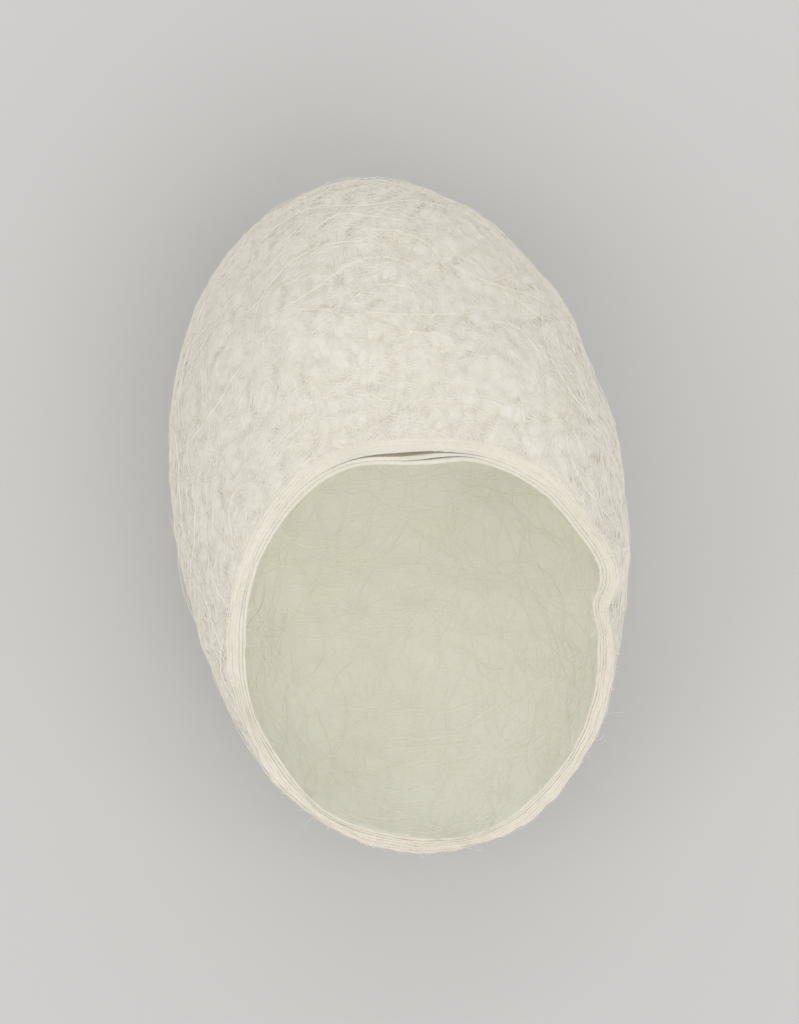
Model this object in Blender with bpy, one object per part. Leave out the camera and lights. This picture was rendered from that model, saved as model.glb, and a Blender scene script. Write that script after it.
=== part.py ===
"""Silk cocoon with one end cut open, lying on its side as it comes to rest.

The cocoon is a single piece: a hollow shell that one silkworm spun from one thread.
The end that the moth would have left by was sliced off at a slant and the pupa was
taken out, so the shell is open there and its wall shows its thickness.

Frame: metres, +Z up, standing surface at Z = 0. The long axis lies along Y, with the
closed end towards +Y and the mouth at -Y, facing up and outwards. The origin is the
bottom centre of the cocoon's bounding box.
"""
import math

import bmesh
import bpy
from mathutils import Matrix, Vector

# The whole cocoon, before its end was cut off
LENGTH = 0.0350            # along the axis
WIDTH = 0.0212             # across the middle
WALL = 0.0008              # thickness of the silk
BLUNTNESS = 2.1            # exponent of the outline: 2 is an ellipse, more is blunter
FULLER_END = 0.057         # how much fuller the closed end is than the cut end

# Uneven spinning: the shell is never quite round. Each entry is a wave around the axis:
# lobes around, share of the radius, phase, and how far the phase turns along the length
UNEVENNESS = (
    (2, 0.010, 0.6, 0.8),
    (3, 0.007, 1.9, 2.0),
    (5, 0.004, 4.0, 3.5),
)

# The slanting cut through the end
CUT_ANGLE = math.radians(42)        # from the cocoon's axis up to the cut's normal
CUT_DISTANCE = 0.00655              # from the middle of the cocoon to the cut
CUT_BOW = 0.00015                   # how far the blade wandered from a true plane
SWAY_ACROSS = 7.0                   # radians of that wandering per cocoon length, across
SWAY_ALONG = 9.0                    # the same, down the slant
SWAY_START = 0.8                    # where in its wave the blade began, in radians

# The shell rests where its weight brings it: tipped back, with the mouth end raised
REST_TILT = math.radians(7.75)
FLAT_DEPTH = 0.0003                 # how far the silk is pressed in where it rests

# Fineness of the faceted surface
SEGMENTS = 48
RINGS = 30
BLADE_STEPS = 16

SHARP_ANGLE = math.radians(40)
SILK_COLOUR = (0.76, 0.74, 0.66, 1.0)
SILK_ROUGHNESS = 0.6


def clear_scene():
    for obj in list(bpy.data.objects):
        bpy.data.objects.remove(obj, do_unlink=True)


def silk_material():
    material = bpy.data.materials.new("silk")
    material.use_nodes = True
    shader = material.node_tree.nodes["Principled BSDF"]
    shader.inputs["Base Color"].default_value = SILK_COLOUR
    shader.inputs["Roughness"].default_value = SILK_ROUGHNESS
    shader.inputs["Metallic"].default_value = 0.0
    return material


def outline_point(turn):
    """A point of the outline, from the cut end (turn 0) round to the closed end (pi)."""
    along = math.cos(turn)
    across = math.sin(turn)
    power = 2.0 / BLUNTNESS
    y = -LENGTH / 2 * math.copysign(abs(along) ** power, along)
    radius = WIDTH / 2 * abs(across) ** power * (1 - FULLER_END * along)
    return Vector((radius, y, 0.0))


def unevenness(point):
    """How many times wider than round the shell is at a point of its surface."""
    around = math.atan2(point.z, point.x)
    along = point.y / (LENGTH / 2)
    factor = 1.0
    for lobes, share, phase, twist in UNEVENNESS:
        factor += share * math.sin(lobes * around + phase + twist * along)
    return factor


def whole_cocoon():
    """The closed outer skin: the outline spun about the axis, then made uneven."""
    bm = bmesh.new()
    points = [outline_point(math.pi * ring / RINGS) for ring in range(RINGS + 1)]
    verts = [bm.verts.new(point) for point in points]
    edges = [bm.edges.new(pair) for pair in zip(verts, verts[1:])]
    bmesh.ops.spin(bm, geom=verts + edges, cent=(0, 0, 0), axis=(0, 1, 0),
                   angle=math.tau, steps=SEGMENTS, use_duplicate=False)
    bmesh.ops.remove_doubles(bm, verts=bm.verts, dist=1e-6)
    for vert in bm.verts:
        factor = unevenness(vert.co)
        vert.co.x *= factor
        vert.co.z *= factor
    bmesh.ops.recalc_face_normals(bm, faces=bm.faces)
    mesh = bpy.data.meshes.new("cocoon")
    bm.to_mesh(mesh)
    bm.free()
    shell = bpy.data.objects.new("cocoon", mesh)
    bpy.context.collection.objects.link(shell)
    return shell


def slab(name, normal, distance, bow):
    """A thick slab that starts at a distance from the middle and lies beyond it along
    its normal. Its near face is bowed by a slow wave, as a cut made by hand is."""
    bm = bmesh.new()
    bmesh.ops.create_grid(bm, x_segments=BLADE_STEPS, y_segments=BLADE_STEPS, size=LENGTH)
    for vert in bm.verts:
        across = math.sin(SWAY_ACROSS * vert.co.x / LENGTH + SWAY_START)
        along = math.cos(SWAY_ALONG * vert.co.y / LENGTH)
        vert.co.z = bow * (across + along)
    top = bmesh.ops.extrude_face_region(bm, geom=bm.faces[:])
    raised = [item for item in top["geom"] if isinstance(item, bmesh.types.BMVert)]
    bmesh.ops.translate(bm, verts=raised, vec=(0, 0, LENGTH))
    bmesh.ops.recalc_face_normals(bm, faces=bm.faces)
    mesh = bpy.data.meshes.new(name)
    bm.to_mesh(mesh)
    bm.free()
    turn = normal.to_track_quat("Z", "Y").to_matrix().to_4x4()
    mesh.transform(Matrix.Translation(normal * distance) @ turn)
    cutter = bpy.data.objects.new(name, mesh)
    cutter.hide_render = True
    cutter.display_type = "WIRE"
    bpy.context.collection.objects.link(cutter)
    return cutter


def cut_away(shell, cutter):
    boolean = shell.modifiers.new(cutter.name, "BOOLEAN")
    boolean.operation = "DIFFERENCE"
    boolean.solver = "EXACT"
    boolean.object = cutter


def hollow_out(shell):
    wall = shell.modifiers.new("wall", "SOLIDIFY")
    wall.thickness = WALL
    wall.offset = -1.0
    wall.use_even_offset = True


def open_the_end(shell):
    mouth = Vector((0, -math.cos(CUT_ANGLE), math.sin(CUT_ANGLE)))
    cut_away(shell, slab("blade", mouth, CUT_DISTANCE, CUT_BOW))


def press_flat_spot(shell):
    """Flatten the underside, square to gravity, where the tipped-back shell touches."""
    down = Vector((0, math.sin(REST_TILT), -math.cos(REST_TILT)))
    reach = max(vert.co.dot(down) for vert in shell.data.vertices)
    cut_away(shell, slab("ground", down, reach - FLAT_DEPTH, 0.0))


def set_down(shell):
    """Apply the cuts, tip the shell back and put its bottom centre at the origin."""
    depsgraph = bpy.context.evaluated_depsgraph_get()
    mesh = bpy.data.meshes.new_from_object(shell.evaluated_get(depsgraph))
    shell.modifiers.clear()
    shell.data = mesh
    mesh.transform(Matrix.Rotation(-REST_TILT, 4, "X"))
    low = Vector([min(vert.co[axis] for vert in mesh.vertices) for axis in range(3)])
    high = Vector([max(vert.co[axis] for vert in mesh.vertices) for axis in range(3)])
    middle = (low + high) / 2
    mesh.transform(Matrix.Translation((-middle.x, -middle.y, -low.z)))
    mesh.shade_smooth()
    mesh.set_sharp_from_angle(angle=SHARP_ANGLE)


clear_scene()
cocoon = whole_cocoon()
cocoon.data.materials.append(silk_material())
hollow_out(cocoon)
open_the_end(cocoon)
press_flat_spot(cocoon)
set_down(cocoon)
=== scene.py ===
"""The silk cocoon, cut open at one end, as raw silk looks close up.

The cocoon lies on its side on a pale floor. Sizes are in metres, in the same frame as
the solid that it is dressed around.
"""
import math

import bpy
import numpy as np
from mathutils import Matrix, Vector


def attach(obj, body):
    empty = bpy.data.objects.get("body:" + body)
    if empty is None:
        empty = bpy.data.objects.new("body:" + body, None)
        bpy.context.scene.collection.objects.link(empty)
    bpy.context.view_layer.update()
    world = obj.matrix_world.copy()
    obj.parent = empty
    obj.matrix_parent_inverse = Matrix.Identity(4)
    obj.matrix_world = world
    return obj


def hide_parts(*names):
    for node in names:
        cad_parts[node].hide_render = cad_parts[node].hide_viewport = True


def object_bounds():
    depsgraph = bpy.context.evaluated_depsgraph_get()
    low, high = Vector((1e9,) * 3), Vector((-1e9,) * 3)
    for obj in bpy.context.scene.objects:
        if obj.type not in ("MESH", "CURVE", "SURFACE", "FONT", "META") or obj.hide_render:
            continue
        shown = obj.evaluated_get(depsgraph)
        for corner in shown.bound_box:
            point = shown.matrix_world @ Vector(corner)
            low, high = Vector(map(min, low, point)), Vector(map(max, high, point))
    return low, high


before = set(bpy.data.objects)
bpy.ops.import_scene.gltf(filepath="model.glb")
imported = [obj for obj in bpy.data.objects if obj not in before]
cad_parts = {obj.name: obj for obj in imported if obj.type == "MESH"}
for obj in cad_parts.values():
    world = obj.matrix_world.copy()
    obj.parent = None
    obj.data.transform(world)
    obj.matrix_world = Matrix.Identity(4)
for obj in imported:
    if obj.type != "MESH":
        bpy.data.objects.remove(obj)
solid_low, solid_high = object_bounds()


# ---------------------------------------------------------------------------------------
# The shell. One silkworm spun it from one thread, layer inside layer, and its own gum set
# them into a wall like thin felt. Drying drew the outside into a fine crinkle; the inside
# is smooth. The end was sliced off at a slant, which shows the layers in the rim.
# ---------------------------------------------------------------------------------------

LENGTH = 0.0350                     # of the whole cocoon, before its end was cut off
WIDTH = 0.0212
WALL = 0.0008
BLUNTNESS = 2.1                     # exponent of the outline: 2 is an ellipse
FULLER_END = 0.057                  # how much fuller the closed end is than the cut end
UNEVENNESS = (                      # lobes around, share of the radius, phase, twist
    (2, 0.010, 0.6, 0.8),
    (3, 0.007, 1.9, 2.0),
    (5, 0.004, 4.0, 3.5),
)
CUT_ANGLE = math.radians(42)        # from the cocoon's axis up to the cut's normal
CUT_DISTANCE = 0.00655              # from the middle of the cocoon to the cut
REST_TILT = math.radians(7.75)      # how far the mouth end is raised as it lies

# The mouth's own directions: out of the cut, across it, and up its slope
MOUTH_OUT = np.array([0.0, -math.cos(CUT_ANGLE), math.sin(CUT_ANGLE)])
MOUTH_ACROSS = np.array([1.0, 0.0, 0.0])
MOUTH_UP = np.array([0.0, math.sin(CUT_ANGLE), math.cos(CUT_ANGLE)])

COLUMNS = 384                       # of faces round the mouth
OUTER_ROWS = 146                    # from the closed end to the rim, outside
INNER_ROWS = 66                     # and back again, inside


def on_cocoon(directions, inset):
    """Where lines from the cocoon's middle meet the silk at a depth below its outside."""
    half_length = LENGTH / 2 - inset
    half_width = WIDTH / 2 - inset
    x, y, z = directions.T
    around = np.arctan2(z, x)
    reach = half_width
    for _ in range(8):              # rounds, in which the unevenness settles
        along = np.clip(reach * y / half_length, -1, 1)
        factor = 1 + FULLER_END * np.sign(along) * np.abs(along) ** (BLUNTNESS / 2)
        for lobes, share, phase, twist in UNEVENNESS:
            factor = factor * (1 + share * np.sin(lobes * around + phase + twist * along))
        across = np.hypot(x, z) / (half_width * factor)
        reach = (np.abs(y / half_length) ** BLUNTNESS + across ** BLUNTNESS) ** (-1 / BLUNTNESS)
    return directions * np.reshape(reach, (-1, 1))


def facing(points):
    """The outward direction of the silk at points on it, close to an ellipsoid's."""
    normals = points / np.array([WIDTH / 2, LENGTH / 2, WIDTH / 2]) ** 2
    return normals / np.linalg.norm(normals, axis=1, keepdims=True)


def from_mouth(turn, angle):
    """Directions at an angle from the mouth's own axis, turned round it by turn."""
    ring = np.outer(np.cos(turn), MOUTH_ACROSS) + np.outer(np.sin(turn), MOUTH_UP)
    return np.outer(np.cos(angle), MOUTH_OUT) + ring * np.sin(angle)[:, None]


def rim_angle(turn, inset):
    """The angle from the mouth's axis at which the cut meets the silk at that depth."""
    angle = np.full(len(turn), 1.0)  # a first guess
    for _ in range(12):             # rounds, in which it settles
        reach = np.linalg.norm(on_cocoon(from_mouth(turn, angle), inset), axis=1)
        angle = 0.5 * angle + 0.5 * np.arccos(CUT_DISTANCE / reach)
    return angle


def waves(points, spacing, seed, count=70):
    """A smooth random relief, about 1 high: many waves of about one spacing, crossing."""
    rng = np.random.default_rng(seed)
    heading = rng.normal(size=(count, 3))
    heading /= np.linalg.norm(heading, axis=1, keepdims=True)
    pitch = math.tau / (spacing * rng.uniform(0.75, 1.3, count))
    angle = points @ (heading * pitch[:, None]).T + rng.uniform(0, math.tau, count)
    return np.cos(angle).sum(axis=1) * math.sqrt(2 / count)


# The relief, as height, spacing and seed: the outside's slow dents and its two sizes of
# grain, and the inside's ripples
DENTS = (0.00007, 0.0070, 11)
GRAINS = ((0.000055, 0.0024, 12), (0.000035, 0.0015, 13))
RIPPLES = ((0.00005, 0.0060, 21), (0.000012, 0.0016, 22))
GRAIN_TOP = 1.6                     # waves are cut off at this height, which rounds a grain
GRAIN_MEAN = 0.8


def crinkle(points):
    """Height of the outside above its smooth form: slow dents, and the fine crinkle that
    leaves rounded grains about a millimetre across with creases between them."""
    high, spacing, seed = DENTS
    height = high * waves(points, spacing, seed)
    for high, spacing, seed in GRAINS:
        grains = np.minimum(np.abs(waves(points, spacing, seed)), GRAIN_TOP)
        height = height + high * (grains - GRAIN_MEAN)
    return height


def inner_ripple(points):
    """Height of the inside's slight ripples."""
    return sum(high * waves(points, spacing, seed) for high, spacing, seed in RIPPLES)


def near(turn, centre, reach, reach_below=None):
    """1 at an angle round the mouth, and about a third at a reach away from it."""
    away = (turn - centre + math.pi) % math.tau - math.pi
    reach = np.where(away < 0, reach_below or reach, reach)
    return np.exp(-(away / reach) ** 2)


def round_mouth(turn, spread, seed):
    """A random value for each angle round the mouth, about 1 high, that joins up."""
    rng = np.random.default_rng(seed)
    total = np.zeros(len(turn))
    count = 14
    for _ in range(count):
        times = round(rng.uniform(0.4, 1.6) * spread)
        total += np.cos(times * turn + rng.uniform(0, math.tau))
    return total * math.sqrt(2 / count)


# The rim is out of round on one side: pinched in, sharply at a nick and then easing out
PINCH_AT = math.radians(-18)
PINCH_ABOVE = math.radians(9)
PINCH_BELOW = math.radians(34)
PINCH_IN = 0.00066
NICK_AT = math.radians(-15.5)
NICK_REACH = math.radians(4)
NICK_IN = 0.00030
NICK_BACK = 0.00020                 # how far the cut runs back there
NICK_FADE = 0.0010                  # how far behind the cut the nick is a third as deep
BULGE_AT = math.radians(0)          # the wall stands out again above the nick
BULGE_REACH = math.radians(8)
BULGE_OUT = 0.00012
BEND_FADE = 0.0034                  # how far behind the cut the bends are a third as deep
BROW_AT = math.radians(83)          # the cut runs a little forward at the mouth's top
BROW_REACH = math.radians(26)
BROW_FORWARD = 0.00052

# The layers have parted at the top of the mouth, in two slits with a thin ply between:
# after which layer, at what angle, how far round it reaches, and how wide it gapes
LAYERS = 6
SLITS = (
    (4, math.radians(88), math.radians(14), 0.00026),
    (5, math.radians(76), math.radians(9), 0.00014),
)
SLIT_DEPTH = 0.0018
SLIT_LIP = 0.00001                  # how far behind the layer's ridge the lips begin
SLIT_FADE = 0.0035                  # how far behind the cut they gape a third as wide
# The rings of a slit, from lip to lip: how far past its layer, in layers; the share of its
# depth; and whether the ring is on the inner layer's side
SLIT_RINGS = ((-0.06, 0, 0), (-0.05, 0.04, 0), (-0.03, 0.5, 0),
              (0, 1, 0), (0.02, 0.5, 1), (0.03, 0.04, 1))


def bent(points):
    """How far the wall near the rim is bent outwards, at points of the shell."""
    turn = np.arctan2(points @ MOUTH_UP, points @ MOUTH_ACROSS)
    behind = CUT_DISTANCE - points @ MOUTH_OUT
    out = BULGE_OUT * near(turn, BULGE_AT, BULGE_REACH)
    out = out - PINCH_IN * near(turn, PINCH_AT, PINCH_ABOVE, PINCH_BELOW)
    out = out - NICK_IN * near(turn, NICK_AT, NICK_REACH) * np.exp(-np.abs(behind) / NICK_FADE)
    return out * np.exp(-(behind / BEND_FADE) ** 2)


def parted(points, layer):
    """How far a layer has come away towards the middle of the mouth, as a move."""
    turn = np.arctan2(points @ MOUTH_UP, points @ MOUTH_ACROSS)
    behind = CUT_DISTANCE - points @ MOUTH_OUT
    gap = sum(width * near(turn, at, reach) * (layer > after)
              for after, at, reach, width in SLITS)
    inwards = -(np.outer(np.cos(turn), MOUTH_ACROSS) + np.outer(np.sin(turn), MOUTH_UP))
    return inwards * (gap * np.exp(-(behind / SLIT_FADE) ** 2))[:, None]


def outside_at(points):
    """Where points of the smooth outside lie once it is bent and crinkled."""
    return points + facing(points) * (crinkle(points) + bent(points))[:, None]


def inside_at(points):
    """Where points of the smooth inside lie once it is bent, rippled and parted."""
    moved = points + facing(points) * (inner_ripple(points) + bent(points))[:, None]
    return moved + parted(points, LAYERS)


def rim_at(turn, share, back, layer):
    """Points of the rim: a share of the way through the wall, and behind the cut."""
    edge = rim_angle(turn, WALL * share)
    angle = edge + back * np.cos(edge) / CUT_DISTANCE
    points = on_cocoon(from_mouth(turn, angle), WALL * share)
    height = bent(points) + crinkle(points) * (1 - share) + inner_ripple(points) * share
    return points + facing(points) * height[:, None] + parted(points, layer)


# Each layer of the rim is a low ridge with a groove before it. Its rings: how far through
# the layer, and how far behind the cut
RIDGE = ((0.06, 0.000036), (0.30, 0.000004), (0.58, -0.000014), (0.86, 0.000004))
LAYER_SWAY = 0.000018               # how far each layer's edge strays on its own
FRAY = 0.000010                     # how rough each ring is along its length

# How far behind its plane the cut runs, round the mouth: it was made freehand
CUT_SWAY = 0.00008
turn = np.linspace(0, math.tau, COLUMNS + 1)
turn[-1] = 0.0                      # the last column lies on the first
sway = CUT_SWAY * round_mouth(turn, 3, 31) + NICK_BACK * near(turn, NICK_AT, NICK_REACH)
sway = sway - BROW_FORWARD * near(turn, BROW_AT, BROW_REACH)
SWAY_FADE = 0.002                   # how far behind the cut the rows sway a third as much


def ring_at(edge, share):
    """The angles of a ring that lies a share of the way from the closed end to the rim."""
    angle = math.pi + (edge - math.pi) * share
    behind = (angle - edge) * CUT_DISTANCE / np.cos(edge)
    return angle + sway * np.exp(-behind / SWAY_FADE) * np.cos(edge) / CUT_DISTANCE


rows = []
outer_edge = rim_angle(turn, 0.0)
for row in range(OUTER_ROWS):
    angle = ring_at(outer_edge, row / OUTER_ROWS)
    rows.append(outside_at(on_cocoon(from_mouth(turn, angle), 0.0)))
slit_rows = []
for layer in range(1, LAYERS + 1):
    uneven = sway + LAYER_SWAY * round_mouth(turn, 9, 50 + layer)
    for through, back in RIDGE:
        share = (layer - 1 + through) / LAYERS
        fine = FRAY * round_mouth(turn, 90, 70 + round(share * 1000))
        rows.append(rim_at(turn, share, uneven + fine + back, layer))
    for after, at, reach, _ in SLITS:
        if after == layer:
            depth = SLIT_DEPTH * near(turn, at, reach)
            slit_rows += range(len(rows) + 1, len(rows) + len(SLIT_RINGS) - 1)
            for through, part, side in SLIT_RINGS:
                share = (layer + through) / LAYERS
                back = uneven + SLIT_LIP + depth * part
                rows.append(rim_at(turn, share, back, layer + side))
rim_rows = len(rows) - OUTER_ROWS
inner_edge = rim_angle(turn, WALL)
for row in range(INNER_ROWS + 1):
    angle = ring_at(inner_edge, 1 - row / INNER_ROWS)
    rows.append(inside_at(on_cocoon(from_mouth(turn, angle), WALL)))

# The cocoon lies as its solid does: tipped back, centred over the origin
tip = np.array([
    [1.0, 0.0, 0.0],
    [0.0, math.cos(REST_TILT), math.sin(REST_TILT)],
    [0.0, -math.sin(REST_TILT), math.cos(REST_TILT)],
])
PRESSED = 0.0003                    # how far the silk is pressed in where it rests
smooth_outside = np.concatenate([on_cocoon(from_mouth(turn, np.full(len(turn), angle)), 0.0)
                                 for angle in np.linspace(1.0, math.pi, 200)])
smooth_outside = smooth_outside[smooth_outside @ MOUTH_OUT < CUT_DISTANCE]
tipped = smooth_outside @ tip.T
shift = np.array([
    (solid_low[0] + solid_high[0]) / 2 - (tipped[:, 0].min() + tipped[:, 0].max()) / 2,
    (solid_low[1] + solid_high[1]) / 2 - (tipped[:, 1].min() + tipped[:, 1].max()) / 2,
    solid_low[2] - tipped[:, 2].min() - PRESSED,
])


def lay_down(points):
    """From the cocoon's own directions to where it lies; what would sink is pressed flat."""
    laid = points @ tip.T + shift
    laid[:, 2] = np.maximum(laid[:, 2], solid_low[2])
    return laid


bpy.ops.object.select_all(action="DESELECT")
bpy.ops.mesh.primitive_grid_add(x_subdivisions=COLUMNS, y_subdivisions=len(rows) - 1, size=1)
shell = bpy.context.object
shell.name = "cocoon_shell"
sheet = np.array([vertex.co[:2] for vertex in shell.data.vertices])
column = np.rint((sheet[:, 0] + 0.5) * COLUMNS).astype(int)
row = np.rint((sheet[:, 1] + 0.5) * (len(rows) - 1)).astype(int)
rolled = lay_down(np.stack(rows).reshape(-1, 3)).reshape(len(rows), COLUMNS + 1, 3)
shell.data.vertices.foreach_set("co", rolled[row, column].ravel())
shell.data.update()

# The shell's own map, named OFBake: once round the mouth across it, and up it from the closed
# end over the rim and back inside
RING_ROOM = 0.00022                 # least room on it for a narrow ring
ring_spans = np.linalg.norm(np.diff(rolled, axis=0), axis=2).max(axis=1)
level = np.concatenate([[0.0], np.cumsum(np.maximum(ring_spans, RING_ROOM))])
corner = np.array([loop.vertex_index for loop in shell.data.loops])
finish_map = shell.data.uv_layers.active
finish_map.name = "OFBake"
flat = np.stack([column[corner] / COLUMNS, level[row[corner]] / level[-1]], axis=1)
finish_map.data.foreach_set("uv", flat.ravel())

# Outside, rim, inside and slits wear their own finishes; the slits' is painted shade
face_rows = np.array([row[face.vertices[0]] for face in shell.data.polygons])
finish = (face_rows >= OUTER_ROWS - 1).astype(np.int32) + (face_rows >= OUTER_ROWS + rim_rows)
finish[np.isin(face_rows, slit_rows)] = 3
shell.data.polygons.foreach_set("material_index", finish)
bpy.ops.object.mode_set(mode="EDIT")
bpy.ops.mesh.select_all(action="SELECT")
bpy.ops.mesh.remove_doubles(threshold=1e-7)
bpy.ops.mesh.normals_make_consistent(inside=False)
bpy.ops.object.mode_set(mode="OBJECT")
bpy.ops.object.shade_smooth_by_angle(angle=math.radians(50))


def linear(code):
    """A colour written as an sRGB hex value, in linear light."""
    parts = [int(code[i:i + 2], 16) / 255 for i in (0, 2, 4)]
    return [*((p / 12.92 if p <= 0.04045 else ((p + 0.055) / 1.055) ** 2.4) for p in parts), 1]


def add(tree, kind, values, links=None, **settings):
    """Add a node with its settings, its inputs' values and what its inputs are fed by."""
    made = tree.nodes.new(kind)
    for name, value in settings.items():
        setattr(made, name, value)
    for name, value in values.items():
        made.inputs[name].default_value = value
    for name, source in (links or {}).items():
        tree.links.new(source, made.inputs[name])
    return made


# The ways that thread lies on the shell, as angles about X, Y and Z in degrees
LAYS = ((0, 0, 28), (0, 0, -41), (33, 0, 8), (-38, 0, -12), (15, 0, 74), (70, 20, -20))
STREAK = 14                         # a streak's length against its width


def threads(tree, spacing, run):
    """The relief of laid thread: streaks a spacing apart, crossing in every lay."""
    place = add(tree, "ShaderNodeTexCoord", {}).outputs["Object"]
    height = None
    for lay in LAYS:
        turned = add(tree, "ShaderNodeMapping", {
            "Rotation": [math.radians(a) for a in lay],
            "Scale": (spacing, run, spacing),
        }, {"Vector": place}, vector_type="TEXTURE")
        streak = add(tree, "ShaderNodeTexNoise", {
            "Scale": 1.0, "Detail": 2.0, "Roughness": 0.5, "Distortion": 0.4,
        }, {"Vector": turned.outputs["Vector"]})
        if height is None:
            height = streak.outputs["Fac"]
        else:
            height = add(tree, "ShaderNodeMath", {}, {
                0: height, 1: streak.outputs["Fac"],
            }, operation="MAXIMUM").outputs[0]
    return height


def raw_silk(name, light, deep, rough, shine, thread, depth):
    """Raw silk with its gum on: a warm white, matt from a distance because its threads
    cross, with a soft glow where light passes through and a faint sheen along edges."""
    material = bpy.data.materials.new(name)
    material.use_nodes = True
    tree = material.node_tree
    shader = tree.nodes["Principled BSDF"]
    place = add(tree, "ShaderNodeTexCoord", {}).outputs["Object"]
    height = threads(tree, thread, thread * STREAK)
    # The gum lies unevenly: the tint drifts over a few millimetres
    drift = add(tree, "ShaderNodeTexNoise", {
        "Scale": 1 / 0.005, "Detail": 3.0, "Roughness": 0.55,
    }, {"Vector": place})
    # Between threads the colour is painted a shade deeper: painted shade in the hollows between
    # them
    painted_gap_shade = add(tree, "ShaderNodeMapRange", {
        "From Min": 0.50, "From Max": 0.72, "To Min": 0.0, "To Max": 1.0,
    }, {"Value": height})
    tint = add(tree, "ShaderNodeMath", {}, {
        0: painted_gap_shade.outputs["Result"], 1: drift.outputs["Fac"],
    }, operation="MULTIPLY_ADD")
    tree.links.new(drift.outputs["Fac"], tint.inputs[2])
    colour = add(tree, "ShaderNodeMix", {
        "A": linear(deep), "B": linear(light),
    }, {"Factor": tint.outputs[0]}, data_type="RGBA")
    tree.links.new(colour.outputs["Result"], shader.inputs["Base Color"])
    gloss = add(tree, "ShaderNodeMapRange", {
        "From Min": 0.45, "From Max": 0.75, "To Min": rough + 0.08, "To Max": rough - 0.08,
    }, {"Value": height})
    tree.links.new(gloss.outputs["Result"], shader.inputs["Roughness"])
    relief = add(tree, "ShaderNodeBump", {
        "Strength": 1.0, "Distance": depth,
    }, {"Height": height})
    tree.links.new(relief.outputs["Normal"], shader.inputs["Normal"])
    shader.inputs["IOR"].default_value = 1.54
    shader.inputs["Specular IOR Level"].default_value = 0.4
    shader.inputs["Sheen Weight"].default_value = shine
    shader.inputs["Sheen Roughness"].default_value = 0.45
    shader.inputs["Subsurface Weight"].default_value = 0.2
    shader.inputs["Subsurface Radius"].default_value = (1.0, 0.9, 0.75)
    shader.inputs["Subsurface Scale"].default_value = 0.0006
    return material


# Thread is 0.02 to 0.03 mm; its streaks are drawn four to six times as coarse, to show
outside = raw_silk("raw_silk_crinkled", "EEEAE1", "E2DDD0", 0.62, 0.20, 0.00010, 0.00004)
rim = raw_silk("raw_silk_cut", "E7E2D6", "D7D1C1", 0.70, 0.10, 0.00010, 0.00001)
# The inside is painted a shade lighter than the outside: painted light, against the shade in
# the hollow
inside = raw_silk("raw_silk_inner", "FCFAF0", "F8F6E7", 0.50, 0.10, 0.00014, 0.00002)
# Deep between the layers the slit walls are painted dark: painted shade, which shows as a dark
# line
slit = raw_silk("slit_painted_shade", "ADA692", "968D78", 0.75, 0.0, 0.00010, 0.00001)
for material in (outside, rim, inside, slit):
    shell.data.materials.append(material)
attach(shell, "root")
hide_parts("cocoon")


# ---------------------------------------------------------------------------------------
# The laid thread. The silkworm swings its head as it spins, so the thread lies in loops
# and S-bends that cross at every angle, outside and inside, held where they lie by gum.
# ---------------------------------------------------------------------------------------

THREAD_WIDTH = 0.000040             # real thread is 0.025 mm wide, too fine to show
THREAD_HEIGHT = 0.000018            # two filaments side by side, so it lies flat
STEP = 0.0006                       # between points along a thread
RUN = 0.034                         # length of each thread, laid end to end with others
SHORTEST = 4                        # points that a stretch has at least
OUTER_THREADS = 520                 # in each of three meshes
INNER_THREADS = 480
MAP_PER_RADIAN = 0.21               # of a thread's map, for each radian from the closed end
outer_cut = outer_edge + sway * np.cos(outer_edge) / CUT_DISTANCE
inner_cut = inner_edge + sway * np.cos(inner_edge) / CUT_DISTANCE


def spin(count, length, inset, seed):
    """Points along threads laid on the silk at a depth: one row of points per thread."""
    rng = np.random.default_rng(seed)
    points = rng.normal(size=(count, 3)) * np.array([WIDTH, LENGTH, WIDTH])
    points = on_cocoon(points / np.linalg.norm(points, axis=1, keepdims=True), inset)
    ahead = rng.normal(size=(count, 3))
    swing = rng.uniform(0.4, 1.5, count)
    loop = math.tau / rng.uniform(0.010, 0.022, count)
    phase = rng.uniform(0, math.tau, count)
    path = []
    for step in range(round(length / STEP)):
        path.append(points)
        normal = facing(points)
        ahead = ahead - normal * (ahead * normal).sum(axis=1, keepdims=True)
        ahead = ahead / np.linalg.norm(ahead, axis=1, keepdims=True)
        veer = (STEP * swing * loop * np.cos(loop * step * STEP + phase))[:, None]
        ahead = ahead * np.cos(veer) + np.cross(normal, ahead) * np.sin(veer)
        points = points + ahead * STEP
        points = on_cocoon(points / np.linalg.norm(points, axis=1, keepdims=True), inset)
    return np.stack(path, axis=1)


def whole_runs(paths, cut):
    """The stretches of each thread that lie behind the cut, each cut off right at it."""
    runs = []
    around = turn[:-1] % math.tau
    for path in paths:
        angle = np.arccos(path @ MOUTH_OUT / np.linalg.norm(path, axis=1))
        spot = np.arctan2(path @ MOUTH_UP, path @ MOUTH_ACROSS)
        past = angle - np.interp(spot, around, cut[:-1], period=math.tau)
        ends = np.flatnonzero(np.diff((past > 0).astype(int)))
        met = past[ends] / (past[ends] - past[ends + 1])
        met = path[ends] + (path[ends + 1] - path[ends]) * met[:, None]
        stretches = np.split(path, ends + 1)
        for number, stretch in enumerate(stretches):
            if past[0 if number == 0 else ends[number - 1] + 1] <= 0 or len(stretch) < SHORTEST:
                continue
            before = met[number - 1:number] if number > 0 else path[:0]
            after = met[number:number + 1]
            runs.append(np.concatenate([before, stretch, after]))
    return runs


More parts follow.
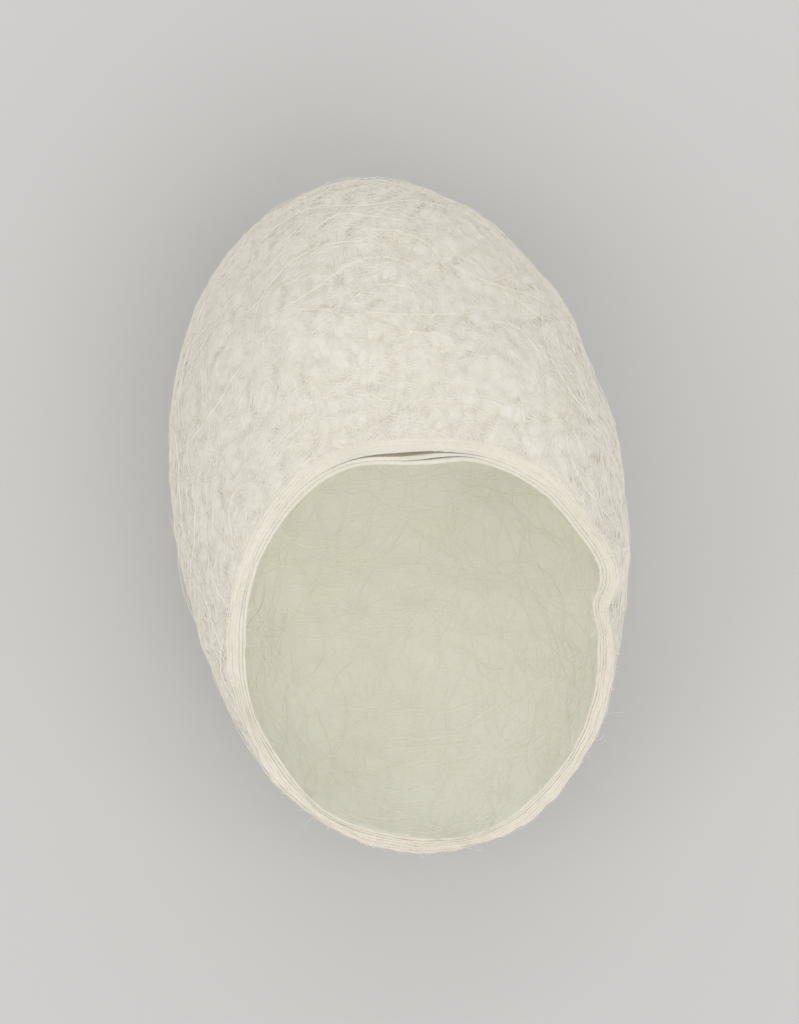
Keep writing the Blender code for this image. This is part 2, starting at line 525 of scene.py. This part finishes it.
def thread_mesh(name, runs, width, height, material):
    """One mesh of many threads. Each is a closed low roof-shaped prism along its points;
    runs holds pairs of its points and of the way up there, as the cocoon lies."""
    points = np.concatenate([run for run, up in runs])
    up = np.concatenate([up for run, up in runs])
    ahead = np.concatenate([np.gradient(run, axis=0) for run, up in runs])
    side = np.cross(up, ahead)
    side *= width / 2 / np.linalg.norm(side, axis=1, keepdims=True)
    corners = np.stack([points + up * height, points - side, points + side], axis=1)
    corners[:, :, 2] = np.maximum(corners[:, :, 2], solid_low[2])
    first = np.cumsum([0] + [len(run) for run, up in runs])
    faces = []
    for start, end in zip(first, first[1:]):
        here = np.arange(start, end - 1) * 3
        for a, b in ((0, 1), (1, 2), (2, 0)):
            faces += np.stack([here + a, here + b, here + b + 3, here + a + 3], 1).tolist()
        faces.append([start * 3 + 2, start * 3 + 1, start * 3])
        faces.append([end * 3 - 3, end * 3 - 2, end * 3 - 1])
    mesh = bpy.data.meshes.new(name)
    corners = corners.reshape(-1, 3)
    mesh.from_pydata(corners.tolist(), [], faces)
    mesh.materials.append(material)
    # Its map goes by place, the closed end in the middle, so threads that cross share it
    place = (corners - shift) @ tip
    reach = math.pi - np.arccos(place @ MOUTH_OUT / np.linalg.norm(place, axis=1))
    around = np.arctan2(place @ MOUTH_UP, place @ MOUTH_ACROSS)
    heading = np.stack([np.cos(around), np.sin(around)], axis=1)
    flat = 0.5 + MAP_PER_RADIAN * reach[:, None] * heading
    corner = np.array([loop.vertex_index for loop in mesh.loops])
    mesh.uv_layers.new(name="OFBake").data.foreach_set("uv", flat[corner].ravel())
    piece = bpy.data.objects.new(name, mesh)
    bpy.context.collection.objects.link(piece)
    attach(piece, "root")


def thread_silk(name, light, deep, rough):
    """Silk thread in its gum: near white, and a little glossy along its length."""
    material = bpy.data.materials.new(name)
    material.use_nodes = True
    tree = material.node_tree
    shader = tree.nodes["Principled BSDF"]
    place = add(tree, "ShaderNodeTexCoord", {}).outputs["Object"]
    drift = add(tree, "ShaderNodeTexNoise", {
        "Scale": 1 / 0.003, "Detail": 2.0, "Roughness": 0.6,
    }, {"Vector": place})
    colour = add(tree, "ShaderNodeMix", {
        "A": linear(deep), "B": linear(light),
    }, {"Factor": drift.outputs["Fac"]}, data_type="RGBA")
    tree.links.new(colour.outputs["Result"], shader.inputs["Base Color"])
    shader.inputs["Roughness"].default_value = rough
    shader.inputs["IOR"].default_value = 1.54
    return material


outer_thread = thread_silk("silk_thread_outer", "F2EEE5", "E8E2D6", 0.5)
for number in (1, 2, 3):
    rng = np.random.default_rng(200 + number)
    laid = []
    for run in whole_runs(spin(OUTER_THREADS, RUN, 0.0, 100 + number), outer_cut):
        up = facing(run)
        lift = THREAD_HEIGHT * rng.uniform(-0.3, 1.2)
        laid.append((lay_down(outside_at(run) + up * lift), up @ tip.T))
    thread_mesh(f"outer_thread_{number}", laid, THREAD_WIDTH, THREAD_HEIGHT, outer_thread)

# Inside, the last layers lie flatter, and fewer of their threads stand out
# Its threads take the inside's lighter colour, which is painted light as well
inner_thread = thread_silk("silk_thread_inner", "FCFAF0", "F8F6E7", 0.45)
rng = np.random.default_rng(210)
laid = []
for run in whole_runs(spin(INNER_THREADS, RUN, WALL, 110), inner_cut):
    up = -facing(run)
    lift = THREAD_HEIGHT * rng.uniform(-0.3, 0.8)
    laid.append((lay_down(inside_at(run) + up * lift), up @ tip.T))
thread_mesh("inner_thread", laid, THREAD_WIDTH, THREAD_HEIGHT * 0.7, inner_thread)


# ---------------------------------------------------------------------------------------
# Loose silk. A few filaments of the floss that held the cocoon up still arch off the
# outside, and short ends of cut thread stand out of the rim.
# ---------------------------------------------------------------------------------------

FILAMENT = 0.000020                 # real filaments are half as thick
FLOSS = 260                         # arches of it
FLOSS_LENGTH = 0.011
FLOSS_RISE = (0.00003, 0.00024)
loose_silk = thread_silk("loose_silk", "F6F3EA", "EEE9DC", 0.4)

rng = np.random.default_rng(300)
laid = []
for run in whole_runs(spin(FLOSS, FLOSS_LENGTH, 0.0, 301), outer_cut):
    up = facing(run)
    arch = np.sin(np.linspace(0, math.pi, len(run))) * rng.uniform(*FLOSS_RISE)
    laid.append((lay_down(outside_at(run) + up * arch[:, None]), up @ tip.T))
thread_mesh("loose_floss", laid, FILAMENT, FILAMENT, loose_silk)

FRAYED = 1500
FRAYED_LENGTH = (0.00008, 0.00035)
LONG_END = 20                       # one end in so many is three times as long
ROOT_BACK = 0.00004                 # how far behind the cut each end comes out
END_POINTS = 7
rng = np.random.default_rng(310)
around = rng.uniform(0, math.tau, FRAYED)
through = rng.uniform(0.01, 0.99, FRAYED)
roots = rim_at(around, through, ROOT_BACK, np.ceil(through * LAYERS))
outwards = np.outer(np.cos(around), MOUTH_ACROSS) + np.outer(np.sin(around), MOUTH_UP)
laid = []
for number, (root, up) in enumerate(zip(roots, outwards)):
    along = np.cross(MOUTH_OUT, up) * rng.choice((-1, 1))
    start = MOUTH_OUT * rng.uniform(0.1, 0.8) + along + up * rng.uniform(-0.6, 0.6)
    curl = up * rng.uniform(-0.7, 0.7) + MOUTH_OUT * rng.uniform(-0.5, 0.3) - along * 0.3
    length = rng.uniform(*FRAYED_LENGTH) * (3 if number % LONG_END == 0 else 1)
    way = np.linspace(0, 1, END_POINTS)[:, None]
    run = root + length * (start * way + curl * way ** 2)
    laid.append((lay_down(run), np.tile(up, (END_POINTS, 1)) @ tip.T))
thread_mesh("frayed_rim", laid, FILAMENT, FILAMENT * 0.8, loose_silk)


# ---------------------------------------------------------------------------------------
# The floor, the lights and the camera, which looks down into the mouth.
# ---------------------------------------------------------------------------------------

bpy.ops.object.select_all(action="DESELECT")
bpy.ops.mesh.primitive_plane_add(size=3.0, location=(0, 0, 0))
floor = bpy.context.object
floor.name = "floor"
card = bpy.data.materials.new("pale_card")
card.use_nodes = True
card.node_tree.nodes["Principled BSDF"].inputs["Base Color"].default_value = linear("CCCBCA")
card.node_tree.nodes["Principled BSDF"].inputs["Roughness"].default_value = 0.9
floor.data.materials.append(card)

world = bpy.data.worlds.new("studio")
bpy.context.scene.world = world
world.use_nodes = True
world.node_tree.nodes["Background"].inputs["Color"].default_value = (1.0, 0.99, 0.97, 1)
world.node_tree.nodes["Background"].inputs["Strength"].default_value = 0.65


def soft_light(name, place, spread, strength):
    """A large soft light far off: where it shines from, how wide it looks, W per m2."""
    light = bpy.data.lights.new(name, "SUN")
    light.angle = math.radians(spread)
    light.energy = strength
    lamp = bpy.data.objects.new(name, light)
    lamp.location = place
    lamp.rotation_euler = Vector(place).to_track_quat("Z", "Y").to_euler()
    bpy.context.collection.objects.link(lamp)


soft_light("key_light", (-0.28, -0.10, 0.32), 44, 0.40)
soft_light("fill_light", (0.20, -0.18, 0.36), 44, 0.38)
soft_light("low_light", (0.0, -0.34, 0.32), 46, 0.70)
soft_light("back_light", (0.04, 0.36, 0.16), 50, 0.42)

camera = bpy.data.objects.new("camera", bpy.data.cameras.new("camera"))
bpy.context.collection.objects.link(camera)
camera.data.lens = 200
AZIMUTH = math.radians(-9.4)
ELEVATION = math.radians(75.75)
FRAMED = 0.049                      # height of the view at the cocoon
target = Vector((0.0, 0.0, 0.009))
back = Vector((math.sin(AZIMUTH) * math.cos(ELEVATION),
               -math.cos(AZIMUTH) * math.cos(ELEVATION), math.sin(ELEVATION)))
half_view = camera.data.sensor_width / 2 / camera.data.lens
camera.location = target + back * (FRAMED / 2 / half_view)
camera.rotation_euler = back.to_track_quat("Z", "Y").to_euler()
camera.data.clip_start = 0.01
camera.data.clip_end = 10
bpy.context.scene.camera = camera
bpy.context.scene.view_settings.view_transform = "Standard"
